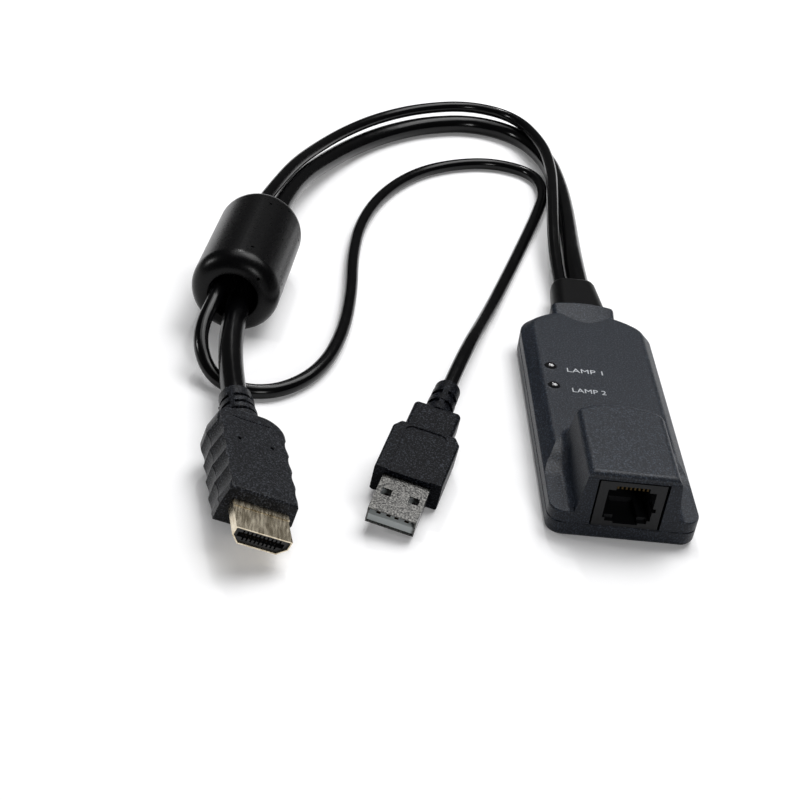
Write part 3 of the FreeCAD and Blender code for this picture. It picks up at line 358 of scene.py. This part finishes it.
# cords: one smooth line each, through the same turning points as the solids, in mm
cords = {
    "videoCord": {
        "diameter": 6.6, "length": 384.2, "node": "video_cord",
        "route": [
            (2.1, 64.2, 5.5), (2.1, 83, 5.5), (3.2, 104, 4.0), (4.3, 126, 3.4),
            (4.2, 148, 3.35), (2.2, 170, 3.35), (-6.4, 189, 3.35), (-24, 196.4, 3.35),
            (-43, 189, 3.35), (-58.5, 175.6, 3.4), (-70.6, 159.2, 3.8), (-79.6, 139.8, 5.6),
            (-86.8, 119.5, 8.3), (-91.2, 99, 9.8), (-94.2, 79, 10.1), (-97.1, 51, 9.8),
            (-100.4, 24, 10), (-99.49, 0.48, 8.64), (-96.44, -15.22, 8.48)],
        "with": ["ferrite_jacket", "ferrite_core", "video_plug_overmould", "video_plug_shell",
                 "video_plug_insulator", "video_plug_contacts"],
    },
    "dataCord": {
        "diameter": 4.0, "length": 762.3, "node": "data_cord",
        "route": [
            (-3.6, 64.2, 5.5), (-3.6, 83, 5.5), (-2.8, 104, 7.6), (-1.0, 126, 9.0),
            (0.8, 148.6, 9.1), (-0.4, 171, 9.0), (-8.6, 193.4, 8.9), (-26, 199.8, 8.9),
            (-45.4, 191.2, 8.9), (-61, 177.2, 8.95), (-73, 160, 9.4), (-82, 139.4, 11.3),
            (-89, 118.2, 13.9), (-94.2, 98.2, 14.8), (-99, 78, 15), (-102.1, 51, 15.2),
            (-105.6, 26, 14.6), (-109, 11.4, 9.6), (-104.6, 2.2, 3.2), (-95, -2.4, 2.05),
            (-84.5, 0.4, 2), (-75, 12.5, 2.05), (-69.8, 32, 2), (-67.8, 56, 2.05),
            (-68, 80, 2), (-65.8, 104, 2.05), (-58.6, 128, 2), (-47, 147.4, 2.05),
            (-33.5, 158.6, 2), (-18, 164, 2.05), (-3.4, 158.6, 2), (-1, 143, 2.05),
            (-5.4, 124.6, 2), (-12.4, 100, 2.05), (-19.5, 76, 2), (-26.8, 52, 2.3),
            (-36.03, 20.67, 7.38), (-41.33, 1.40, 6.47)],
        "with": ["data_plug_overmould", "data_plug_shell", "data_plug_tongue",
                 "data_plug_contacts"],
    },
}
tube = {"around": 7, "along": 16, "order": 3}  # how finely a cord is drawn, and its smoothness


def layCord(name, settings):
    curve = bpy.data.curves.new(name, "CURVE")
    curve.dimensions = "3D"
    curve.bevel_depth = settings["diameter"] / 2 / 1000
    curve.bevel_resolution = tube["around"]
    curve.resolution_u = tube["along"]
    curve.use_fill_caps = True
    spline = curve.splines.new("NURBS")
    spline.points.add(len(settings["route"]) - 1)
    for point, spot in zip(spline.points, settings["route"]):
        point.co = (*metres(spot), 1)
    spline.order_u = tube["order"]  # only holds once the points are there
    spline.use_endpoint_u = True
    piece = bpy.data.objects.new(name, curve)
    bpy.context.scene.collection.objects.link(piece)
    curve.materials.append(cordFinish)
    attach(piece, "root")
    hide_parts(settings["node"])
    metres(settings["route"][0])


for name, settings in cords.items():
    layCord(name, settings)
print("cords laid")

# legends beside the two light pipes: plain numbered words, pad printed in thin grey ink
legends = {
    "high": 1.95, "thick": 0.03, "roof": 10.5, "clear": 0.005,  # mm
    "ink": "#a9adb2", "inkLight": "#b4b8bc", "inkRoughness": 0.55, "inkMottle": 0.4,
    "lines": [("LAMP 1", -8.6, 10.8, 9.9), ("LAMP 2", -8.2, 0.9, 9.2)],  # left, foot, long
}


def printLegends(settings):
    ink = plainMould("padInk", settings["ink"], settings["inkLight"],
                     settings["inkRoughness"], settings["inkMottle"])
    for words, left, foot, long in settings["lines"]:
        bpy.ops.object.select_all(action="DESELECT")
        bpy.ops.object.text_add()
        piece = bpy.context.object
        piece.name = "legend" + words.title().replace(" ", "")
        piece.data.body = words
        piece.data.extrude = 0.004  # any thickness, as all three sizes are set below
        bpy.ops.object.convert(target="MESH")
        piece = bpy.context.object
        corners = piece.data.vertices
        low = [min(corner.co[i] for corner in corners) for i in range(3)]
        span = [max(corner.co[i] for corner in corners) - low[i] for i in range(3)]
        sizes = (long, settings["high"], settings["thick"])
        starts = (left, foot, settings["roof"] + settings["clear"])
        for corner in corners:
            corner.co = metres(starts[i] + (corner.co[i] - low[i]) / span[i] * sizes[i]
                               for i in range(3))
        piece.data.materials.append(ink)
        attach(piece, "root")


printLegends(legends)
print("legends printed")
